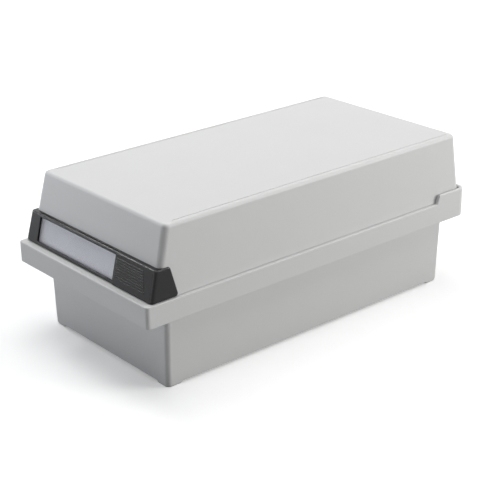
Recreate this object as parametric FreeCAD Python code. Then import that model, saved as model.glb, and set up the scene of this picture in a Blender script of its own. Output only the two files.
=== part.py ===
import FreeCAD, Part
import math
import os

# An index card box for landscape A6 cards: a drafted tray with a wide flange,
# a lid hinged at the rear, a front clip with the label and a sliding card support.
# Millimetres. X runs to the right, Y from front to rear, Z up.
# The origin is the centre of the footprint, in the plane the feet stand on.

# Tray
flange_width = 180.0
flange_length = 356.0
ledge_height = 80.0
skirt_height = 18.0
skirt_wall = 2.4
deck_thickness = 2.4
flange_corner = 3.0
flange_edge_round = 0.8
front_overhang = 23.4
rear_overhang = 21.0
side_overhang = 7.5
body_wall = 2.2
body_corner = 4.0
floor_thickness = 2.4
side_draft = 1.8
front_draft = 0.3
rear_draft = 1.5
foot_height = 2.0
foot_size = 13.0
foot_slope = 1.6
foot_inset = 0.7
skirt_kink_drop = 5.0
skirt_rear_lean = 4.6

# Raised wall round the rear of the flange
raised_wall = 2.8
raised_height = 8.0
raised_length = 37.2
raised_end_lean = 2.9
raised_edge_round = 1.3

# Lid
lid_gap = 0.4
lid_rear_gap = 2.4
rim_gap = 0.3
lid_height = 58.0
lid_front_setback = 10.4
lid_corner = 5.0
lid_edge_round = 3.2
lid_wall = 2.2
lid_top_thickness = 2.6
lid_front_slope = 14.1
lid_side_slope = 3.25
lid_rear_slope = 5.5
groove_inset = 4.5
groove_width = 0.8
groove_depth = 0.6
groove_front_margin = 10.0
groove_rear_margin = 6.7
rear_rim_relief = 1.9
rear_relief_reach = 5.0

# Hinge
hinge_width = 120.0
hinge_sheet = 1.0
hinge_axis_rise = 16.0
hinge_pin_radius = 1.4
pin_clearance = 0.05
knuckle_count = 5
knuckle_gap = 0.3
base_leaf_depth = 8.0
lid_leaf_height = 22.0
hinge_window_margin = 1.2
leaf_corner = 3.0
knuckle_room = 0.6
hinge_rivet_count = 4
rivet_shank = 1.5
rivet_head = 2.7
rivet_head_height = 1.1
rivet_clearance = 0.02
rivet_edge_margin = 4.0

# Front clip, measured up the lid's front face from its rim and outwards from that face
clip_height = 25.2
clip_foot_gap = 0.1
clip_depth = 4.7
clip_cheek = 1.3
clip_corner = 3.0
clip_seat_gap = 0.1
cheek_length_bottom = 22.0
cheek_length_top = 9.2
cheek_corner = 2.5
clip_edge_round = 1.3
frame_step = 0.6
frame_lip = 1.4
window_left = -71.8
window_right = 35.7
window_low = 1.8
window_height = 20.85
window_margin = 2.0
window_thickness = 0.7
window_fit = 0.1
pocket_depth = 0.5
pocket_side_margin = 1.2
pocket_low_margin = 1.0
card_thickness = 0.3
card_side_fit = 0.4
card_rest_fit = 0.1
card_top_margin = 1.2
step_margin = 1.5
grip_left = 38.6
grip_right = 72.6
grip_low = 4.0
rib_count = 9
rib_pitch = 2.0
rib_end_step = 0.6
rib_radius = 0.62
rib_height = 0.36
barb_places = (-77.0, 45.0, 77.0)
barb_width = 8.0
barb_root = 1.0
barb_thickness = 1.5
barb_rise = 9.0
barb_hook = 0.8
barb_fit = 0.15

# Card support
plate_side_clearance = 5.2
plate_height = 92.0
plate_sheet = 1.2
plate_lean = 8.0
plate_corner = 12.0
plate_edge_round = 0.8
plate_side_depth = 6.0
plate_side_low = 8.0
plate_side_high = 74.0
plate_hole_radius = 14.0
plate_hole_drop = 26.0
plate_tongue = 14.0
support_rear_room = 27.8
support_foot_length = 64.0
support_foot_half = 16.0
support_foot_height = 9.0
support_foot_corner = 3.0
support_base_half = 18.0
support_base_height = 2.4
support_rivet_spacing = 20.0
support_rivet_sink = 0.3
guide_clearance = 0.3
guide_wall = 2.0
guide_lip = 1.2
guide_lip_clearance = 0.4
guide_end_margin = 4.0

# Clamp lever of the card support, from the pivot outwards
lever_width = 13.0
lever_side_clearance = 0.5
lever_pivot_back = 38.0
lever_pivot_rise = 5.0
lever_hub_radius = 2.9
lever_pad_front = 19.0
lever_pad_length = 6.0
lever_pad_height = 1.6
lever_arm_thickness = 2.8
lever_tail_length = 18.0
lever_tail_thickness = 2.6
lever_tail_rise = 2.6
lever_thumb_ridges = 4
lever_thumb_pitch = 1.8
lever_thumb_radius = 0.5
lever_slot_front = 16.0
lever_slot_rear = 60.0
lever_web_front = 43.0
lever_web_height = 1.6
clamp_pin_radius = 1.25
spring_back = 13.0
spring_wire_radius = 0.3
spring_coil_radius = 2.3
spring_turns = 4
spring_end_gap = 0.1
spring_spigot_radius = 1.5
spring_spigot_height = 1.2

front_y = -flange_length / 2
rear_y = flange_length / 2
flange_half = flange_width / 2
skirt_bottom = ledge_height - skirt_height
lid_rim = ledge_height + rim_gap
lid_top = ledge_height + lid_height
lid_half = flange_half - raised_wall - lid_gap
lid_front = front_y + lid_front_setback
lid_rear = rear_y - raised_wall - lid_rear_gap
raised_inner_corner = lid_corner + lid_gap
flange_rear_corner = raised_inner_corner + raised_wall
floor_top = foot_height + floor_thickness
knuckle_radius = hinge_pin_radius + pin_clearance + hinge_sheet
hinge_axis_z = ledge_height + hinge_axis_rise

X_AXIS = FreeCAD.Vector(1, 0, 0)
Y_AXIS = FreeCAD.Vector(0, 1, 0)
Z_AXIS = FreeCAD.Vector(0, 0, 1)


def vector(x, y, z):
    return FreeCAD.Vector(x, y, z)


def slope(degrees):
    return math.tan(math.radians(degrees))


def rounded_rectangle(half_width, y_front, y_rear, z, front_radius, rear_radius=None):
    """Closed wire of four lines and four quarter arcs at height z."""
    if rear_radius is None:
        rear_radius = front_radius
    corners = (
        (half_width, y_front, front_radius, -90.0),
        (half_width, y_rear, rear_radius, 0.0),
        (-half_width, y_rear, rear_radius, 90.0),
        (-half_width, y_front, front_radius, 180.0),
    )
    edges = []
    previous = None
    first = None
    for x, y, radius, start in corners:
        centre_x = x - math.copysign(radius, x)
        centre_y = y + radius if y == y_front else y - radius
        points = []
        for angle in (start, start + 45.0, start + 90.0):
            turn = math.radians(angle)
            points.append(vector(centre_x + radius * math.cos(turn), centre_y + radius * math.sin(turn), z))
        if previous is not None:
            edges.append(Part.makeLine(previous, points[0]))
        else:
            first = points[0]
        edges.append(Part.Arc(points[0], points[1], points[2]).toShape())
        previous = points[2]
    edges.append(Part.makeLine(previous, first))
    return Part.Wire(edges)


def tapered_block(low, high):
    """Solid between two rounded rectangles, each (half width, front, rear, height, corner radii)."""
    return Part.makeLoft([rounded_rectangle(*low), rounded_rectangle(*high)], True, True)


def box(x_low, x_high, y_low, y_high, z_low, z_high):
    return Part.makeBox(x_high - x_low, y_high - y_low, z_high - z_low, vector(x_low, y_low, z_low))


def profile_prism(points, x_low, x_high):
    """Prism along X of a polygon given as (y, z) points."""
    corners = [vector(x_low, y, z) for y, z in points]
    face = Part.Face(Part.makePolygon(corners + corners[:1]))
    return face.extrude(vector(x_high - x_low, 0, 0))


def cylinder(radius, length, base, direction):
    return Part.makeCylinder(radius, length, base, direction)


def cut_all(shape, tools):
    return shape.cut(Part.makeCompound(tools))


def fuse_all(shapes):
    fused = shapes[0]
    if len(shapes) > 1:
        fused = fused.fuse(shapes[1:])
    return fused.removeSplitter()


def round_edges(shape, radius, wanted):
    edges = [edge for edge in shape.Edges if wanted(edge)]
    return shape.makeFillet(radius, edges)


def at_height(edge, z, tolerance=0.01):
    bounds = edge.BoundBox
    return abs(bounds.ZMin - z) < tolerance and abs(bounds.ZMax - z) < tolerance


def is_upright(edge):
    bounds = edge.BoundBox
    return bounds.ZLength > 0.1 and bounds.XLength < 0.01 and bounds.YLength < 0.01


def runs_along_x(edge):
    bounds = edge.BoundBox
    return bounds.XLength > 0.1 and bounds.YLength < 0.01 and bounds.ZLength < 0.01


def runs_along_y(edge):
    bounds = edge.BoundBox
    return bounds.YLength > 0.1 and bounds.XLength < 0.01 and bounds.ZLength < 0.01


def is_top_corner(edge, z):
    return runs_along_y(edge) and at_height(edge, z)


def is_ahead_of(edge, y):
    return edge.BoundBox.YMax < y


def body_section(z, inset=0.0, corner=body_corner):
    """The drafted body's outline at a height, moved inwards by an inset."""
    drop = ledge_height - z
    half = flange_half - side_overhang - drop * slope(side_draft) - inset
    y_front = front_y + front_overhang + drop * slope(front_draft) + inset
    y_rear = rear_y - rear_overhang - drop * slope(rear_draft) - inset
    return (half, y_front, y_rear, z, max(corner - inset, 1.0))


def lid_section(z, inset=0.0, corner=lid_corner):
    """The lid's outline at a height, moved inwards by an inset."""
    rise = z - lid_rim
    half = lid_half - rise * slope(lid_side_slope) - inset
    y_front = lid_front + rise * slope(lid_front_slope) + inset
    y_rear = lid_rear - rise * slope(lid_rear_slope) - inset
    return (half, y_front, y_rear, z, max(corner - inset, 1.0))


def hinge_axis_y():
    """The axis lies one knuckle radius inside the lid's inner rear face."""
    rise = hinge_axis_z - lid_rim
    inner_face = lid_rear - lid_wall - rise * slope(lid_rear_slope)
    return inner_face - knuckle_radius / math.cos(math.radians(lid_rear_slope))


def hinge_rivet_places():
    span = hinge_width - 2 * rivet_edge_margin
    return [-span / 2 + span * index / (hinge_rivet_count - 1) for index in range(hinge_rivet_count)]


def foot_blocks():
    half, y_front, y_rear, z, corner = body_section(foot_height)
    sole = (half - foot_inset, y_front + foot_inset, y_rear - foot_inset, 0.0, corner)
    layer = tapered_block(sole, (half, y_front, y_rear, foot_height, corner))
    feet = []
    for side in (-1, 1):
        for end_y, inward in ((y_front, 1), (y_rear, -1)):
            outline = []
            for reach, height in ((foot_size, 0.0), (foot_size + foot_slope, foot_height)):
                xs = sorted((side * (half + 1.0), side * (half - reach)))
                ys = sorted((end_y - inward, end_y + inward * reach))
                outline.append(Part.makePolygon([
                    vector(xs[0], ys[0], height),
                    vector(xs[1], ys[0], height),
                    vector(xs[1], ys[1], height),
                    vector(xs[0], ys[1], height),
                    vector(xs[0], ys[0], height),
                ]))
            corner_block = Part.makeLoft(outline, True, True)
            feet.append(layer.common(corner_block))
    return feet


def skirt_rear_wedge(inset, z_low, z_high):
    """The slice that leans the rear of the skirt inwards below its kink."""
    kink_z = ledge_height - skirt_kink_drop
    lean = skirt_rear_lean / (kink_z - skirt_bottom)
    face_y = rear_y - inset
    low_y = face_y - (kink_z - z_low) * lean
    points = ((face_y, kink_z), (low_y, z_low), (rear_y + 1.0, z_low), (rear_y + 1.0, kink_z))
    return profile_prism(points, -flange_half - 1.0, flange_half + 1.0)


def flange_solid():
    outline = (flange_half, front_y, rear_y)
    corners = (flange_corner, flange_rear_corner)
    solid = tapered_block(outline + (skirt_bottom,) + corners, outline + (ledge_height,) + corners)
    solid = round_edges(solid, flange_edge_round, lambda edge: at_height(edge, ledge_height))
    return solid.cut(skirt_rear_wedge(0.0, skirt_bottom - 1.0, ledge_height))


def flange_hollow():
    under_deck = ledge_height - deck_thickness
    corners = (max(flange_corner - skirt_wall, 0.5), flange_rear_corner - skirt_wall)
    outline = (flange_half - skirt_wall, front_y + skirt_wall, rear_y - skirt_wall)
    hollow = tapered_block(outline + (skirt_bottom - 1.0,) + corners, outline + (under_deck,) + corners)
    return hollow.cut(skirt_rear_wedge(skirt_wall, skirt_bottom - 2.0, under_deck))


def raised_rear_wall():
    top = ledge_height + raised_height
    low = ledge_height - deck_thickness / 2
    outline = (flange_half, front_y, rear_y)
    corners = (flange_corner, flange_rear_corner)
    wall = tapered_block(outline + (low,) + corners, outline + (top,) + corners)
    start = rear_y - raised_length
    end_slope = raised_end_lean / raised_height
    points = (
        (front_y - 1.0, low - 1.0),
        (start - (ledge_height - low + 1.0) * end_slope, low - 1.0),
        (start + (raised_height + 1.0) * end_slope, top + 1.0),
        (front_y - 1.0, top + 1.0),
    )
    wall = wall.cut(profile_prism(points, -flange_half - 1.0, flange_half + 1.0))
    inner = (flange_half - raised_wall, front_y + raised_wall, rear_y - raised_wall)
    room = tapered_block(inner + (low - 1.0, raised_inner_corner), inner + (top + 1.0, raised_inner_corner))
    wall = wall.cut(room)
    return round_edges(wall, raised_edge_round, lambda edge: at_height(edge, top))


def guide_rails():
    """Two rails on the floor, whose lips hold the support's foot down."""
    section = body_section(floor_top, body_wall)
    y_low = section[1] + guide_end_margin
    y_high = section[2] - guide_end_margin
    inner = support_base_half + guide_clearance
    lip_edge = support_foot_half + guide_lip_clearance
    lip_low = floor_top + support_base_height + guide_clearance
    outline = (
        (inner, floor_top - floor_thickness / 2),
        (inner, lip_low),
        (lip_edge, lip_low),
        (lip_edge, lip_low + guide_lip),
        (inner + guide_wall, lip_low + guide_lip),
        (inner + guide_wall, floor_top - floor_thickness / 2),
    )
    rails = []
    for side in (-1, 1):
        corners = [vector(side * x, y_low, z) for x, z in outline]
        face = Part.Face(Part.makePolygon(corners + corners[:1]))
        rails.append(face.extrude(vector(0, y_high - y_low, 0)))
    return rails


def base_tray():
    body = tapered_block(body_section(foot_height), body_section(ledge_height - deck_thickness / 2))
    flange = flange_solid().cut(flange_hollow())
    shell = fuse_all([flange, body, raised_rear_wall()] + foot_blocks())
    cavity = tapered_block(body_section(floor_top, body_wall), body_section(ledge_height + 1.0, body_wall))
    shell = shell.cut(cavity)
    shell = fuse_all([shell] + guide_rails())
    holes = []
    for x in hinge_rivet_places():
        base = vector(x, base_rivet_y(), ledge_height - deck_thickness - 1.0)
        holes.append(cylinder(rivet_shank + rivet_clearance, deck_thickness + 2.0, base, Z_AXIS))
    return cut_all(shell, holes)


def edge_grooves():
    """A fine groove along each long side of the lid's top."""
    half, y_front, y_rear = lid_section(lid_top)[:3]
    grooves = []
    for side in (-1, 1):
        edges = (side * (half - groove_inset), side * (half - groove_inset - groove_width))
        grooves.append(box(
            min(edges), max(edges),
            y_front + groove_front_margin, y_rear - groove_rear_margin,
            lid_top - groove_depth, lid_top + 1.0,
        ))
    return grooves


def lid_outer():
    return tapered_block(lid_section(lid_rim), lid_section(lid_top))


def hinge_window():
    half = hinge_width / 2 + hinge_window_margin
    z_high = hinge_axis_z + knuckle_radius + knuckle_room
    return box(-half, half, hinge_axis_y(), rear_y, lid_rim - 1.0, z_high)


def lid_shell():
    outer = lid_outer()
    outer = round_edges(outer, lid_edge_round, lambda edge: at_height(edge, lid_top))
    inner_top = lid_top - lid_top_thickness
    inner = tapered_block(lid_section(lid_rim - 1.0, lid_wall), lid_section(inner_top, lid_wall))
    shell = outer.cut(inner)
    relief = box(
        -flange_half, flange_half,
        hinge_axis_y() - rear_relief_reach, rear_y,
        lid_rim - 1.0, lid_rim + rear_rim_relief,
    )
    tools = [relief, hinge_window()] + edge_grooves()
    tools += barb_slots()
    tools += lid_rivet_shanks(rivet_clearance)
    return cut_all(shell, tools)


def base_rivet_y():
    return hinge_axis_y() - knuckle_radius - base_leaf_depth / 2


def knuckle_spans(parity):
    """Spans along X of every second knuckle, with the gap taken off each."""
    pitch = hinge_width / knuckle_count
    spans = []
    for index in range(knuckle_count):
        if index % 2 == parity:
            start = -hinge_width / 2 + index * pitch
            spans.append((start + knuckle_gap / 2, start + pitch - knuckle_gap / 2))
    return spans


def knuckle_tubes(parity):
    tubes = []
    for start, stop in knuckle_spans(parity):
        base = vector(start, hinge_axis_y(), hinge_axis_z)
        tubes.append(cylinder(knuckle_radius, stop - start, base, X_AXIS))
    return tubes


def pin_bore():
    base = vector(-hinge_width / 2 - 1.0, hinge_axis_y(), hinge_axis_z)
    return cylinder(hinge_pin_radius + pin_clearance, hinge_width + 2.0, base, X_AXIS)


def knuckle_notches(parity, z_low, z_high):
    notches = []
    for start, stop in knuckle_spans(parity):
        notches.append(box(start - knuckle_gap, stop + knuckle_gap, -rear_y, rear_y, z_low, z_high))
    return notches


def hinge_base_leaf():
    half = hinge_width / 2
    front_face = hinge_axis_y() - knuckle_radius
    back_face = front_face + hinge_sheet
    upright = box(-half, half, front_face, back_face, ledge_height, hinge_axis_z)
    notch_low = hinge_axis_z - knuckle_radius - knuckle_room
    upright = cut_all(upright, knuckle_notches(1, notch_low, hinge_axis_z + 1.0))
    foot_front = front_face - base_leaf_depth
    foot = box(-half, half, foot_front, back_face, ledge_height, ledge_height + hinge_sheet)
    front_corner = lambda edge: is_upright(edge) and is_ahead_of(edge, foot_front + 0.1)
    foot = round_edges(foot, leaf_corner, front_corner)
    leaf = fuse_all([foot, upright] + knuckle_tubes(0))
    tools = [pin_bore()]
    for x in hinge_rivet_places():
        base = vector(x, base_rivet_y(), ledge_height - 1.0)
        tools.append(cylinder(rivet_shank + rivet_clearance, hinge_sheet + 2.0, base, Z_AXIS))
    return cut_all(leaf, tools)


def tilt_with_rear_wall(shape):
    """Turns a shape made against an upright rear wall to the wall's slope, about the hinge axis."""
    turned = shape.copy()
    turned.rotate(vector(0, hinge_axis_y(), hinge_axis_z), X_AXIS, lid_rear_slope)
    return turned


def hinge_lid_leaf():
    half = hinge_width / 2
    back_face = hinge_axis_y() + knuckle_radius
    top = hinge_axis_z + lid_leaf_height
    sheet = box(-half, half, back_face - hinge_sheet, back_face, hinge_axis_z, top)
    sheet = round_edges(sheet, leaf_corner, lambda edge: is_top_corner(edge, top))
    notch_high = hinge_axis_z + knuckle_radius + knuckle_room
    sheet = cut_all(sheet, knuckle_notches(0, hinge_axis_z - 1.0, notch_high))
    leaf = fuse_all([tilt_with_rear_wall(sheet)] + knuckle_tubes(1))
    return cut_all(leaf, [pin_bore()] + lid_rivet_shanks(rivet_clearance))


def hinge_pin():
    length = hinge_width + 2 * knuckle_gap
    base = vector(-length / 2, hinge_axis_y(), hinge_axis_z)
    pin = cylinder(hinge_pin_radius, length, base, X_AXIS)
    chamfered = [edge for edge in pin.Edges if edge.Curve.TypeId == "Part::GeomCircle"]
    return pin.makeChamfer(hinge_pin_radius * 0.25, chamfered)


def domed_head(radius, height, base, direction):
    """Spherical cap of a given radius and height on a plane through base."""
    sphere_radius = (radius * radius + height * height) / (2 * height)
    centre = base - direction * (sphere_radius - height)
    sphere = Part.makeSphere(sphere_radius, centre)
    keep = Part.makeCylinder(radius + 0.5, height + 0.5, base, direction)
    return sphere.common(keep)


def rivet(base, direction, grip):
    """Rivet whose shank runs from base along direction by its grip, with a dome at each end."""
    shank = cylinder(rivet_shank, grip, base, direction)
    near = domed_head(rivet_head, rivet_head_height, base, direction * -1)
    far = domed_head(rivet_head, rivet_head_height, base + direction * grip, direction)
    return fuse_all([shank, near, far])


def hinge_base_rivets():
    grip = deck_thickness + hinge_sheet
    rivets = []
    for x in hinge_rivet_places():
        base = vector(x, base_rivet_y(), ledge_height - deck_thickness)
        rivets.append(rivet(base, Z_AXIS, grip))
    return Part.makeCompound(rivets)


def lid_rivet_height():
    return hinge_axis_z + lid_leaf_height - rivet_edge_margin


def lid_wall_across():
    """Thickness of the lid's rear wall square to its face."""
    return lid_wall * math.cos(math.radians(lid_rear_slope))


def lid_rivet_shanks(extra):
    inner_face = hinge_axis_y() + knuckle_radius - hinge_sheet
    shanks = []
    for x in hinge_rivet_places():
        base = vector(x, inner_face - 1.0, lid_rivet_height())
        length = hinge_sheet + lid_wall_across() + 2.0
        shanks.append(tilt_with_rear_wall(cylinder(rivet_shank + extra, length, base, Y_AXIS)))
    return shanks


def hinge_lid_rivets():
    inner_face = hinge_axis_y() + knuckle_radius - hinge_sheet
    rivets = []
    for x in hinge_rivet_places():
        base = vector(x, inner_face, lid_rivet_height())
        rivets.append(tilt_with_rear_wall(rivet(base, Y_AXIS, hinge_sheet + lid_wall_across())))
    return Part.makeCompound(rivets)


def on_lid_front(shape):
    """Puts a shape onto the lid's sloped front: y = 0 is the lid's face, outwards is -Y, z = 0 its rim."""
    placed = shape.copy()
    placed.rotate(vector(0, 0, 0), X_AXIS, -lid_front_slope)
    placed.translate(vector(0, lid_front, lid_rim))
    return placed


def clip_foot():
    return ledge_height + clip_foot_gap


def clip_top():
    return lid_rim + clip_height


def clip_profile():
    """Side view of the clip: a trapezoid with rounded rear corners."""
    lid_high = lid_front + clip_height * slope(lid_front_slope)
    far_front = front_y - 5.0
    corners = (
        (far_front, clip_foot()),
        (lid_front + cheek_length_bottom, clip_foot()),
        (lid_high + cheek_length_top, clip_top()),
        (far_front, clip_top()),
    )
    prism = profile_prism(corners, -flange_half - 5.0, flange_half + 5.0)
    rear_corner = lambda edge: runs_along_x(edge) and not is_ahead_of(edge, lid_front)
    return round_edges(prism, cheek_corner, rear_corner)


def clip_block(depth):
    """Block whose front face stands the given depth off the lid's sloped face."""
    level_depth = depth / math.cos(math.radians(lid_front_slope))
    sections = []
    for z in (lid_rim - 1.0, clip_top() + 1.0):
        half, y_front, y_rear, height, corner = lid_section(z)
        sections.append((half + clip_cheek, y_front - level_depth, y_rear, height, clip_corner))
    block = tapered_block(*sections).common(clip_profile())
    lid_face = lid_section(clip_top())[1]
    front_edge = lambda edge: at_height(edge, clip_top()) and is_ahead_of(edge, lid_face)
    return round_edges(block, clip_edge_round, front_edge)


def clip_body():
    """The label frame and, a small step further out, the grip beside it."""
    step = window_right + step_margin
    grip_side = box(step, flange_half, front_y - 5.0, 0.0, skirt_bottom, lid_top)
    frame = clip_block(clip_depth - frame_step).cut(grip_side)
    grip = clip_block(clip_depth).common(grip_side)
    return fuse_all([frame, grip])


def clip_seat():
    """The lid's outline with the seat's gap, carried on below its rim."""
    return tapered_block(lid_section(lid_rim - 1.0, -clip_seat_gap), lid_section(lid_top, -clip_seat_gap))


def window_face():
    """Distance from the lid's face to the front of the clear window, behind the frame's lip."""
    return clip_depth - frame_step - frame_lip


def pocket_face():
    return window_face() - window_thickness


def pocket_low():
    return window_low - pocket_low_margin


def card_high():
    return window_low + window_height + card_top_margin


def window_opening():
    slab = box(
        window_left, window_right,
        -clip_depth - 1.0, -window_face() + 0.1,
        window_low, window_low + window_height,
    )
    return on_lid_front(slab)


def window_slot():
    """Seat of the clear window, open at the top."""
    slab = box(
        window_left - window_margin, window_right + window_margin,
        -window_face(), -pocket_face(),
        pocket_low(), clip_height + 4.0,
    )
    return on_lid_front(slab)


def label_pocket():
    """Room for the paper label behind the window, open at the top."""
    slab = box(
        window_left - pocket_side_margin, window_right + pocket_side_margin,
        -pocket_face() - 0.1, pocket_depth - pocket_face(),
        pocket_low(), clip_height + 4.0,
    )
    return on_lid_front(slab)


def grip_ribs():
    """Fine horizontal ribs, each a low arc on the grip's face and longer than the one above it."""
    ribs = []
    for index in range(rib_count):
        z = grip_low + rib_radius + index * rib_pitch
        centre = vector(grip_left, -clip_depth + rib_radius - rib_height, z)
        length = grip_right - grip_left + (rib_count - 1 - index) * rib_end_step
        ribs.append(on_lid_front(cylinder(rib_radius, length, centre, X_AXIS)))
    return ribs


def barb(x):
    """Hook that reaches through the lid's front wall and catches behind it."""
    left = x - barb_width / 2
    right = x + barb_width / 2
    catch = lid_wall * math.cos(math.radians(lid_front_slope)) + barb_fit
    outline = (
        (-clip_seat_gap - barb_root, barb_rise),
        (catch, barb_rise),
        (catch, barb_rise - barb_hook),
        (catch + barb_hook, barb_rise),
        (catch + barb_hook, barb_rise + barb_thickness),
        (-clip_seat_gap - barb_root, barb_rise + barb_thickness),
    )
    return on_lid_front(profile_prism(outline, left, right))


def barb_slots():
    slots = []
    for x in barb_places:
        half = barb_width / 2 + barb_fit
        low = barb_rise - barb_hook - barb_fit
        high = barb_rise + barb_thickness + barb_fit
        slots.append(on_lid_front(box(x - half, x + half, -1.0, lid_wall + 1.0, low, high)))
    return slots


def front_clip():
    body = cut_all(clip_body(), [clip_seat(), window_opening(), window_slot(), label_pocket()])
    barbs = [barb(x) for x in barb_places]
    return fuse_all([body] + grip_ribs() + barbs)


def label_window():
    reach = window_margin - window_fit
    pane = box(
        window_left - reach, window_right + reach,
        -window_face(), -pocket_face(),
        pocket_low(), card_high(),
    )
    return on_lid_front(pane)


def label_card():
    reach = pocket_side_margin - card_side_fit
    middle = pocket_depth / 2 - pocket_face()
    card = box(
        window_left - reach, window_right + reach,
        middle - card_thickness / 2, middle + card_thickness / 2,
        pocket_low() + card_rest_fit, card_high(),
    )
    return on_lid_front(card)


def support_foot_top():
    return floor_top + support_foot_height


def support_place():
    """Front face of the support, a fixed room ahead of the tray's rear wall."""
    inner_rear = body_section(floor_top, body_wall)[2]
    return inner_rear - support_rear_room - support_foot_length


def support_rivet_places():
    y = support_place() + plate_tongue - rivet_edge_margin
    return ((-support_rivet_spacing / 2, y), (support_rivet_spacing / 2, y))


def support_plate():
    half = body_section(support_foot_top(), body_wall)[0] - plate_side_clearance
    sheet = box(-half, half, 0.0, plate_sheet, 0.0, plate_height)
    sheet = round_edges(sheet, plate_corner, lambda edge: is_top_corner(edge, plate_height))
    inner = half - plate_sheet
    for side in (-1, 1):
        low, high = sorted((side * half, side * inner))
        sheet = sheet.fuse(box(low, high, 0.0, plate_side_depth, plate_side_low, plate_side_high))
    sheet = sheet.removeSplitter()
    sheet = round_edges(sheet, plate_edge_round, lambda edge: is_upright(edge) and edge.BoundBox.YMax < 0.01)
    hole_base = vector(0, -1.0, plate_height - plate_hole_drop)
    sheet = sheet.cut(cylinder(plate_hole_radius, plate_sheet + 2.0, hole_base, Y_AXIS))
    sheet.rotate(vector(0, 0, 0), X_AXIS, -plate_lean)
    top = support_foot_top()
    sheet.translate(vector(0, support_place(), top))
    tongue = box(
        -support_foot_half, support_foot_half,
        support_place(), support_place() + plate_tongue,
        top, top + plate_sheet,
    )
    below = box(-half, half, support_place() - 5.0, support_place() + 5.0, top - 5.0, top)
    tools = [below]
    for x, y in support_rivet_places():
        base = vector(x, y, top - 1.0)
        tools.append(cylinder(rivet_shank + rivet_clearance, plate_sheet + 2.0, base, Z_AXIS))
    return cut_all(fuse_all([sheet, tongue]), tools)


def lever_pivot():
    return support_place() + lever_pivot_back, floor_top + lever_pivot_rise


def clamp_pin():
    y, z = lever_pivot()
    return cylinder(clamp_pin_radius, 2 * support_foot_half, vector(-support_foot_half, y, z), X_AXIS)


def spring_place():
    """Centre of the spring's seat on the foot's web."""
    y, z = lever_pivot()
    return vector(0, y + spring_back, floor_top + lever_web_height)


def tail_underside():
    return floor_top + lever_pivot_rise + lever_tail_rise


def support_foot():
    start = support_place()
    stop = start + support_foot_length
    top = support_foot_top()
    base = box(-support_base_half, support_base_half, start, stop, floor_top, floor_top + support_base_height)
    block = box(-support_foot_half, support_foot_half, start, stop, floor_top, top)
    foot = fuse_all([
        round_edges(base, support_foot_corner, is_upright),
        round_edges(block, support_foot_corner, is_upright),
    ])
    slot_half = lever_width / 2 + lever_side_clearance
    slot_y = start + lever_slot_front, start + lever_slot_rear
    slot = box(-slot_half, slot_half, slot_y[0], slot_y[1], floor_top + lever_web_height, top + 1.0)
    window = box(-slot_half, slot_half, slot_y[0], start + lever_web_front, floor_top - 1.0, top + 1.0)
    y, z = lever_pivot()
    pin_hole = cylinder(
        clamp_pin_radius + rivet_clearance, 2 * support_base_half + 2.0,
        vector(-support_base_half - 1.0, y, z), X_AXIS,
    )
    tools = [slot, window, pin_hole]
    sink = rivet_head_height + support_rivet_sink
    for x, rivet_y in support_rivet_places():
        low = vector(x, rivet_y, floor_top - 1.0)
        tools.append(cylinder(rivet_shank + rivet_clearance, support_foot_height + 2.0, low, Z_AXIS))
        tools.append(cylinder(rivet_head + support_rivet_sink, sink + 1.0, low, Z_AXIS))
    spigot = cylinder(spring_spigot_radius, spring_spigot_height + 1.0, spring_place() - Z_AXIS, Z_AXIS)
    return fuse_all([cut_all(foot, tools), spigot])


def support_rivets():
    low = floor_top + rivet_head_height + support_rivet_sink
    grip = support_foot_top() + plate_sheet - low
    return Part.makeCompound([rivet(vector(x, y, low), Z_AXIS, grip) for x, y in support_rivet_places()])


def clamp_lever():
    """Rocker: its front pad rests on the tray's floor, its raised tail takes the thumb."""
    y, z = lever_pivot()
    half = lever_width / 2
    pad_front = y - lever_pad_front
    arm_low = floor_top + lever_pad_height
    arm_high = arm_low + lever_arm_thickness
    tail_low = tail_underside()
    tail_high = tail_low + lever_tail_thickness
    tail_end = y + lever_tail_length
    outline = (
        (pad_front, floor_top),
        (pad_front + lever_pad_length, floor_top),
        (pad_front + lever_pad_length, arm_low),
        (y, z - lever_hub_radius),
        (y + lever_hub_radius, tail_low),
        (tail_end, tail_low),
        (tail_end, tail_high),
        (y, tail_high),
        (pad_front, arm_high),
    )
    pieces = [profile_prism(outline, -half, half)]
    pieces.append(cylinder(lever_hub_radius, lever_width, vector(-half, y, z), X_AXIS))
    for index in range(lever_thumb_ridges):
        ridge_y = tail_end - lever_thumb_radius - index * lever_thumb_pitch
        pieces.append(cylinder(lever_thumb_radius, lever_width, vector(-half, ridge_y, tail_high), X_AXIS))
    seat = spring_place()
    spigot_base = vector(seat.x, seat.y, tail_low - spring_spigot_height)
    pieces.append(cylinder(spring_spigot_radius, spring_spigot_height + 1.0, spigot_base, Z_AXIS))
    bore = cylinder(clamp_pin_radius + pin_clearance, lever_width + 2.0, vector(-half - 1.0, y, z), X_AXIS)
    return fuse_all(pieces).cut(bore)


def clamp_spring():
    """Coil of half rings, each tilted so that it climbs from one side to the other."""
    seat = spring_place()
    low = seat.z + spring_end_gap + spring_wire_radius
    high = tail_underside() - spring_end_gap - spring_wire_radius
    half_turns = 2 * spring_turns
    rise = (high - low) / half_turns
    tilt = math.atan(rise / (2 * spring_coil_radius))
    ring_radius = spring_coil_radius / math.cos(tilt)
    rings = []
    for index in range(half_turns):
        ring = Part.makeTorus(ring_radius, spring_wire_radius, vector(0, 0, 0), Z_AXIS, -180, 180, 180)
        ring.rotate(vector(0, 0, 0), Y_AXIS, math.degrees(tilt))
        ring.rotate(vector(0, 0, 0), Z_AXIS, 180.0 * (index % 2))
        ring.translate(vector(seat.x, seat.y, low + (index + 0.5) * rise))
        rings.append(ring)
    return fuse_all(rings)


def write_part(name, shape):
    shape.exportStep(os.path.join("parts", name + ".step"))
    state = "valid" if shape.isValid() else "INVALID"
    print(name, len(shape.Solids), "solids", round(shape.Volume, 1), "mm3", state)


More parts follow.
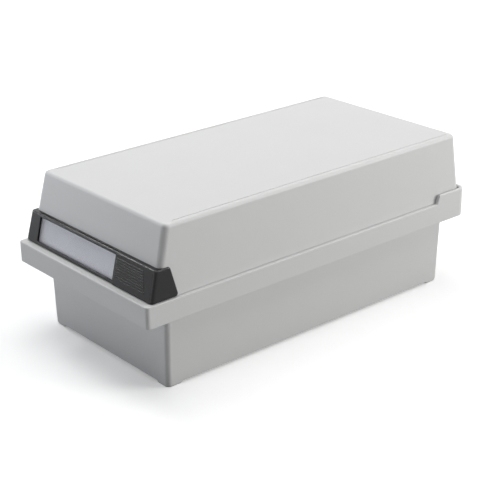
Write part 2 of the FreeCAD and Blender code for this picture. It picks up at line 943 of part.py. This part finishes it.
def main():
    os.makedirs("parts", exist_ok=True)
    pieces = (
        ("base_tray", base_tray),
        ("lid_shell", lid_shell),
        ("hinge_base_leaf", hinge_base_leaf),
        ("hinge_lid_leaf", hinge_lid_leaf),
        ("hinge_pin", hinge_pin),
        ("hinge_base_rivets", hinge_base_rivets),
        ("hinge_lid_rivets", hinge_lid_rivets),
        ("front_clip", front_clip),
        ("label_window", label_window),
        ("label_card", label_card),
        ("support_plate", support_plate),
        ("support_foot", support_foot),
        ("support_rivets", support_rivets),
        ("clamp_lever", clamp_lever),
        ("clamp_pin", clamp_pin),
        ("clamp_spring", clamp_spring),
    )
    for name, make in pieces:
        write_part(name, make())
    print("hinge axis y, z", round(hinge_axis_y(), 3), hinge_axis_z)
    print("lever pivot y, z", lever_pivot())
    lean = math.radians(lid_front_slope)
    print("label slide direction", round(math.sin(lean), 5), round(math.cos(lean), 5))


main()
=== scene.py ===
import math

import bmesh
import bpy
from mathutils import Matrix, Vector


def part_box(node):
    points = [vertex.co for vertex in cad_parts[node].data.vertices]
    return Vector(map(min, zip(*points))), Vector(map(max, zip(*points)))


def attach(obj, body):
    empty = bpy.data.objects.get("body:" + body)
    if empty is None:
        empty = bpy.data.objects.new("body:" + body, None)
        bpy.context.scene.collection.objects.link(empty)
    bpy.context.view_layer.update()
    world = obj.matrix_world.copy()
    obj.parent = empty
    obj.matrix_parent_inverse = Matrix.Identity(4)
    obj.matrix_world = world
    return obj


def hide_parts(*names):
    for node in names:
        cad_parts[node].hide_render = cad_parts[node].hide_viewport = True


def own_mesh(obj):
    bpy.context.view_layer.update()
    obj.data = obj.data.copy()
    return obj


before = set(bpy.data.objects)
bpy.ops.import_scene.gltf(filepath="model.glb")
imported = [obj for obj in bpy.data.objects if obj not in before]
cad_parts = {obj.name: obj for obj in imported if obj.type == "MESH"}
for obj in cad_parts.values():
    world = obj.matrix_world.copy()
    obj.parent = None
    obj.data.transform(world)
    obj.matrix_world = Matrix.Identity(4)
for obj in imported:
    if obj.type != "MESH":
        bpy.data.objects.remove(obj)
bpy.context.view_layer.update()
print("stage: frame loaded")

mm = 0.001
evenly = (1.0, 1.0, 1.0)
white = (1.0, 1.0, 1.0)


def opaque(color):
    return tuple(color) + (1.0,)


class Socket:
    def __init__(self, surface, socket):
        self.surface = surface
        self.socket = socket

    def combine(self, operation, first, second):
        return self.surface.node("ShaderNodeMath", {"operation": operation}, {0: first, 1: second})

    def __add__(self, other):
        return self.combine("ADD", self, other)

    def __radd__(self, other):
        return self.combine("ADD", other, self)

    def __mul__(self, other):
        return self.combine("MULTIPLY", self, other)

    def __rmul__(self, other):
        return self.combine("MULTIPLY", other, self)

    def orLarger(self, other):
        return self.combine("MAXIMUM", self, other)


class Surface:
    def __init__(self, owner):
        owner.use_nodes = True
        self.owner = owner
        self.tree = owner.node_tree
        self.tree.nodes.clear()

    def node(self, kind, settings, sockets, output=0):
        made = self.tree.nodes.new(kind)
        for key, value in settings.items():
            setattr(made, key, value)
        for key, value in sockets.items():
            if isinstance(value, Socket):
                self.tree.links.new(value.socket, made.inputs[key])
            elif value is not None:
                made.inputs[key].default_value = value
        if made.outputs:
            return Socket(self, made.outputs[output])
        return None

    def objectPlace(self, stretch=evenly):
        place = self.node("ShaderNodeTexCoord", {}, {}, "Object")
        if stretch == evenly:
            return place
        return self.node("ShaderNodeMapping", {}, {"Vector": place, "Scale": stretch})

    def noise(self, size, detail, roughness, stretch=evenly):
        return self.node("ShaderNodeTexNoise", {}, {
            "Vector": self.objectPlace(stretch),
            "Scale": 1.0 / (size * mm),
            "Detail": detail,
            "Roughness": roughness,
        })

    # by number, because a Mix node's color sockets share their names with its float ones
    def blend(self, factor, first, second):
        return self.node("ShaderNodeMix", {"data_type": "RGBA"}, {0: factor, 6: first, 7: second}, 2)

    def tinted(self, color, factor, spread):
        low = opaque(channel * (1.0 - spread) for channel in color)
        high = opaque(min(channel * (1.0 + spread), 1.0) for channel in color)
        return self.blend(factor, low, high)

    def shared(self, first, second, share):
        return first * (1.0 - share) + second * share

    def around(self, value, middle, spread):
        return value * spread + (middle - spread / 2)

    def seenDirectly(self):
        cameraRay = self.node("ShaderNodeLightPath", {}, {}, "Is Camera Ray")
        glossyRay = self.node("ShaderNodeLightPath", {}, {}, "Is Glossy Ray")
        throughRay = self.node("ShaderNodeLightPath", {}, {}, "Is Transmission Ray")
        return cameraRay.orLarger(glossyRay).orLarger(throughRay)

    def softEdge(self, radius):
        return self.node("ShaderNodeBevel", {"samples": 4}, {"Radius": radius * mm})

    def bump(self, height, depth, normal=None):
        return self.node("ShaderNodeBump", {}, {
            "Strength": 1.0,
            "Distance": depth * mm,
            "Height": height,
            "Normal": normal,
        })

    def finish(self, base, roughness, normal, constants):
        shader = self.node("ShaderNodeBsdfPrincipled", {}, {
            "Base Color": base,
            "Roughness": roughness,
            "Normal": normal,
            **constants,
        })
        self.node("ShaderNodeOutputMaterial", {}, {"Surface": shader})
        return self.owner


# sizes, depths and rounded edges of the surfaces are in millimetres
plasticNoise = {
    "tone": {"size": 38.0, "detail": 4.0, "roughness": 0.55},
    "speckle": {"size": 1.1, "detail": 2.0, "roughness": 0.6},
    "speckleShare": 0.3,
    "wear": {"size": 9.0, "detail": 5.0, "roughness": 0.6, "stretch": (1.0, 0.35, 1.0)},
    "grain": {"detail": 3.0, "roughness": 0.65},
}


def mouldedPlastic(name, values):
    made = Surface(bpy.data.materials.new(name))
    tone = made.noise(**plasticNoise["tone"])
    speckle = made.noise(**plasticNoise["speckle"])
    mottle = made.shared(tone, speckle, plasticNoise["speckleShare"])
    color = made.tinted(values["color"], mottle, values["toneSpread"])
    wear = made.noise(**plasticNoise["wear"])
    roughness = made.around(wear, values["roughness"], values["roughnessSpread"])
    grain = made.noise(values["grainSize"], **plasticNoise["grain"])
    normal = made.bump(grain, values["grainDepth"], made.softEdge(values["edgeRound"]))
    return made.finish(color, roughness, normal, {"IOR": values["ior"]})


shell = {
    "color": (0.735, 0.735, 0.732),
    "toneSpread": 0.024,
    "roughness": 0.46,
    "roughnessSpread": 0.10,
    "grainSize": 0.45,
    "grainDepth": 0.006,
    "edgeRound": 0.35,
    "ior": 1.5,
}
greyPlastic = mouldedPlastic("greyPlastic", shell)

blackTrim = {
    "color": (0.009, 0.009, 0.0105),
    "toneSpread": 0.5,
    "roughness": 0.17,
    "roughnessSpread": 0.06,
    "grainSize": 0.30,
    "grainDepth": 0.003,
    "edgeRound": 0.8,
    "ior": 1.45,
}
blackPlastic = mouldedPlastic("blackPlastic", blackTrim)

plateCoat = {
    "color": (0.085, 0.088, 0.092),
    "toneSpread": 0.16,
    "roughness": 0.55,
    "roughnessSpread": 0.10,
    "grainSize": 0.7,
    "grainDepth": 0.02,
    "edgeRound": 0.3,
    "ior": 1.5,
}
powderCoat = mouldedPlastic("powderCoat", plateCoat)

metalNoise = {
    "cloud": {"size": 6.0, "detail": 4.0, "roughness": 0.6},
    "streaks": {"size": 0.5, "detail": 4.0, "roughness": 0.7},
}


def brushedMetal(name, values):
    made = Surface(bpy.data.materials.new(name))
    cloud = made.noise(**metalNoise["cloud"])
    color = made.tinted(values["color"], cloud, values["toneSpread"])
    streaks = made.noise(**metalNoise["streaks"], stretch=values["brushStretch"])
    roughness = made.around(streaks, values["roughness"], values["roughnessSpread"])
    normal = made.bump(streaks, values["brushDepth"], made.softEdge(values["edgeRound"]))
    return made.finish(color, roughness, normal, {"Metallic": 1.0})


plating = {
    "color": (0.62, 0.63, 0.64),
    "toneSpread": 0.12,
    "roughness": 0.30,
    "roughnessSpread": 0.18,
    "brushDepth": 0.0015,
    "brushStretch": (0.08, 1.0, 1.0),
    "edgeRound": 0.15,
}
zincSteel = brushedMetal("zincSteel", plating)

rivetHeads = {
    "color": (0.78, 0.78, 0.79),
    "toneSpread": 0.10,
    "roughness": 0.36,
    "roughnessSpread": 0.15,
    "brushDepth": 0.001,
    "brushStretch": evenly,
    "edgeRound": 0.1,
}
rivetMetal = brushedMetal("rivetMetal", rivetHeads)

labelSheet = {
    "color": (0.88, 0.88, 0.93),
    "toneSpread": 0.016,
    "cloud": {"size": 5.0, "detail": 3.0, "roughness": 0.6},
    "cloudShare": 0.5,
    "fibre": {"size": 0.35, "detail": 5.0, "roughness": 0.7, "stretch": (0.4, 1.0, 1.0)},
    "fibreDepth": 0.0015,
    "roughness": 0.75,
    "roughnessSpread": 0.10,
}


def makeLabelPaper():
    made = Surface(bpy.data.materials.new("labelPaper"))
    fibre = made.noise(**labelSheet["fibre"])
    cloud = made.noise(**labelSheet["cloud"])
    mottle = made.shared(fibre, cloud, labelSheet["cloudShare"])
    color = made.tinted(labelSheet["color"], mottle, labelSheet["toneSpread"])
    roughness = made.around(fibre, labelSheet["roughness"], labelSheet["roughnessSpread"])
    return made.finish(color, roughness, made.bump(fibre, labelSheet["fibreDepth"]), {})


windowPane = {
    "color": (0.90, 0.91, 0.96),
    "toneSpread": 0.01,
    "alpha": 0.08,
    "haze": {"size": 3.0, "detail": 4.0, "roughness": 0.6},
    "roughness": 0.069,
    "roughnessSpread": 0.054,
    "wave": {"size": 14.0, "detail": 2.0, "roughness": 0.5},
    "waveDepth": 0.035,
}


def makeClearPane():
    made = Surface(bpy.data.materials.new("clearPane"))
    haze = made.noise(**windowPane["haze"])
    color = made.tinted(windowPane["color"], haze, windowPane["toneSpread"])
    roughness = made.around(haze, windowPane["roughness"], windowPane["roughnessSpread"])
    wave = made.noise(**windowPane["wave"])
    normal = made.bump(wave, windowPane["waveDepth"])
    return made.finish(color, roughness, normal, {"Alpha": windowPane["alpha"]})


labelPaper = makeLabelPaper()
clearPane = makeClearPane()
print("stage: materials made")

nodeMaterials = {
    "base_tray": greyPlastic,
    "lid_shell": greyPlastic,
    "front_clip": blackPlastic,
    "support_foot": blackPlastic,
    "clamp_lever": blackPlastic,
    "support_plate": powderCoat,
    "hinge_base_leaf": zincSteel,
    "hinge_lid_leaf": zincSteel,
    "hinge_pin": zincSteel,
    "clamp_pin": zincSteel,
    "hinge_base_rivets": rivetMetal,
    "hinge_lid_rivets": rivetMetal,
    "support_rivets": rivetMetal,
    "label_card": labelPaper,
    "label_window": clearPane,
}
for node, material in nodeMaterials.items():
    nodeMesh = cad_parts[node].data
    nodeMesh.materials.clear()
    nodeMesh.materials.append(material)
print("stage: cad nodes dressed")

coilSpring = {
    "wireRadius": 0.3,
    "coilRadius": 2.3,
    "turns": 4,
    "stepsPerTurn": 28,
    "wireSides": 10,
    "pressedShare": 0.5,
}


def makeCoilSpring():
    low, high = (Vector(corner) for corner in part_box("clamp_spring"))
    middle = (low + high) / 2
    wire = coilSpring["wireRadius"] * mm
    reach = coilSpring["coilRadius"] * mm
    steps = coilSpring["turns"] * coilSpring["stepsPerTurn"]
    wireEnd = Matrix.Translation((middle.x + reach, middle.y, low.z + wire))
    upright = Matrix.Rotation(math.pi / 2, 4, "X")
    shape = bmesh.new()
    bmesh.ops.create_circle(
        shape,
        cap_ends=True,
        segments=coilSpring["wireSides"],
        radius=wire,
        matrix=wireEnd @ upright,
    )
    bmesh.ops.spin(
        shape,
        geom=shape.verts[:] + shape.edges[:] + shape.faces[:],
        cent=(middle.x, middle.y, 0.0),
        axis=(0.0, 0.0, 1.0),
        dvec=(0.0, 0.0, (high.z - low.z - 2 * wire) / steps),
        angle=2 * math.pi * coilSpring["turns"],
        steps=steps,
        use_merge=False,
    )
    bmesh.ops.recalc_face_normals(shape, faces=shape.faces[:])
    for face in shape.faces:
        face.smooth = True
    mesh = bpy.data.meshes.new("clampCoil")
    shape.to_mesh(mesh)
    shape.free()
    mesh.materials.append(zincSteel)
    coil = bpy.data.objects.new("clampCoil", mesh)
    bpy.context.scene.collection.objects.link(coil)
    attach(coil, "card_support")
    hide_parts("clamp_spring")
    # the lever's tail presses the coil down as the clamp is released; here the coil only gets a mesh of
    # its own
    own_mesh(coil)


makeCoilSpring()
print("stage: coil spring made")

# the floor is lit up for the camera alone, and more so far away, where it meets the white world
studioFloor = {
    "size": 12.0,
    "seenColor": (0.97, 0.97, 0.97),
    "bounceColor": (0.46, 0.46, 0.46),
    "tone": {"size": 400.0, "detail": 2.0, "roughness": 0.5},
    "toneSpread": 0.004,
    "lift": 0.30,
    "fadeStart": 0.5,
    "fadeEnd": 1.9,
}


def makeFloor():
    shape = bmesh.new()
    bmesh.ops.create_grid(shape, x_segments=1, y_segments=1, size=studioFloor["size"] / 2)
    mesh = bpy.data.meshes.new("floor")
    shape.to_mesh(mesh)
    shape.free()
    made = Surface(bpy.data.materials.new("floorPaper"))
    tone = made.noise(**studioFloor["tone"])
    seen = made.tinted(studioFloor["seenColor"], tone, studioFloor["toneSpread"])
    color = made.blend(made.seenDirectly(), opaque(studioFloor["bounceColor"]), seen)
    paper = made.node("ShaderNodeBsdfDiffuse", {}, {"Color": color})
    distance = made.node("ShaderNodeVectorMath", {"operation": "LENGTH"}, {0: made.objectPlace()}, "Value")
    lift = made.node("ShaderNodeMapRange", {"interpolation_type": "SMOOTHSTEP"}, {
        "Value": distance,
        "From Min": studioFloor["fadeStart"],
        "From Max": studioFloor["fadeEnd"],
        "To Min": studioFloor["lift"],
        "To Max": 1.0,
    })
    cameraRay = made.node("ShaderNodeLightPath", {}, {}, "Is Camera Ray")
    glow = made.node("ShaderNodeEmission", {}, {"Color": opaque(white), "Strength": cameraRay * lift})
    both = made.node("ShaderNodeAddShader", {}, {0: paper, 1: glow})
    made.node("ShaderNodeOutputMaterial", {}, {"Surface": both})
    mesh.materials.append(made.owner)
    floor = bpy.data.objects.new("floor", mesh)
    bpy.context.scene.collection.objects.link(floor)
    return floor


makeFloor()

studioAir = {
    "ambientColor": (0.97, 0.985, 1.0),
    "ambient": 0.02,
}


def makeWorld():
    world = bpy.data.worlds.new("studio")
    bpy.context.scene.world = world
    made = Surface(world)
    soft = made.node("ShaderNodeBackground", {}, {
        "Color": opaque(studioAir["ambientColor"]),
        "Strength": studioAir["ambient"],
    })
    seen = made.node("ShaderNodeBackground", {}, {"Color": opaque(white), "Strength": 1.0})
    both = made.node("ShaderNodeMixShader", {}, {0: made.seenDirectly(), 1: soft, 2: seen})
    made.node("ShaderNodeOutputWorld", {}, {"Surface": both})


makeWorld()

# places and sizes in metres, powers in watts
studioLamps = {
    "keyLeft": {
        "place": (-1.4, -0.05, 1.35),
        "size": (0.25, 0.25),
        "power": 4.0,
        "color": (0.97, 0.985, 1.0),
    },
    "leftHigh": {
        "place": (-1.0, 0.2, 1.7),
        "size": (1.2, 1.2),
        "power": 7.0,
        "color": white,
    },
    "overhead": {
        "place": (0.1, 0.35, 2.0),
        "size": (2.2, 2.2),
        "power": 29.0,
        "color": white,
    },
    "rightRear": {
        "place": (1.5, 1.5, 0.55),
        "size": (1.0, 0.9),
        "power": 26.0,
        "color": (1.0, 1.0, 0.985),
    },
    "leftFront": {
        "place": (-1.75, -0.85, 0.25),
        "size": (0.8, 0.45),
        "power": 11.5,
        "color": (0.9, 0.94, 1.0),
    },
    "front": {
        "place": (-0.5, -1.9, 0.4),
        "size": (1.2, 0.7),
        "power": 3.8,
        "color": (0.92, 0.95, 1.0),
    },
}
lampAim = (0.0, 0.0, 0.08)


def makeLamp(name, values):
    data = bpy.data.lights.new(name, "AREA")
    data.shape = "RECTANGLE"
    data.size, data.size_y = values["size"]
    data.energy = values["power"]
    data.color = values["color"]
    lamp = bpy.data.objects.new(name, data)
    lamp.location = values["place"]
    toBox = Vector(lampAim) - Vector(values["place"])
    lamp.rotation_euler = toBox.to_track_quat("-Z", "Y").to_euler()
    bpy.context.scene.collection.objects.link(lamp)


for lampName, lampValues in studioLamps.items():
    makeLamp(lampName, lampValues)

# fitted to the photo's straight edges: the place is in millimetres and the focal length in pixels
studioCamera = {
    "place": (825.44, -698.47, 505.89),
    "forward": (-0.71036617, 0.59082904, -0.38249307),
    "up": (-0.28260089, 0.2582831, 0.9238109),
    "focalPixels": 1339.06,
    "imagePixels": 480.0,
    "clipEnd": 100.0,
}


def makeCamera():
    data = bpy.data.cameras.new("camera")
    data.sensor_fit = "HORIZONTAL"
    data.angle = 2.0 * math.atan(studioCamera["imagePixels"] / 2.0 / studioCamera["focalPixels"])
    data.clip_end = studioCamera["clipEnd"]
    back = -Vector(studioCamera["forward"])
    up = Vector(studioCamera["up"])
    right = up.cross(back)
    turn = Matrix((right, up, back)).transposed().to_4x4()
    camera = bpy.data.objects.new("camera", data)
    camera.matrix_world = Matrix.Translation(Vector(studioCamera["place"]) * mm) @ turn
    bpy.context.scene.collection.objects.link(camera)
    bpy.context.scene.camera = camera


makeCamera()
bpy.context.scene.view_settings.view_transform = "Standard"
print("stage: studio made")
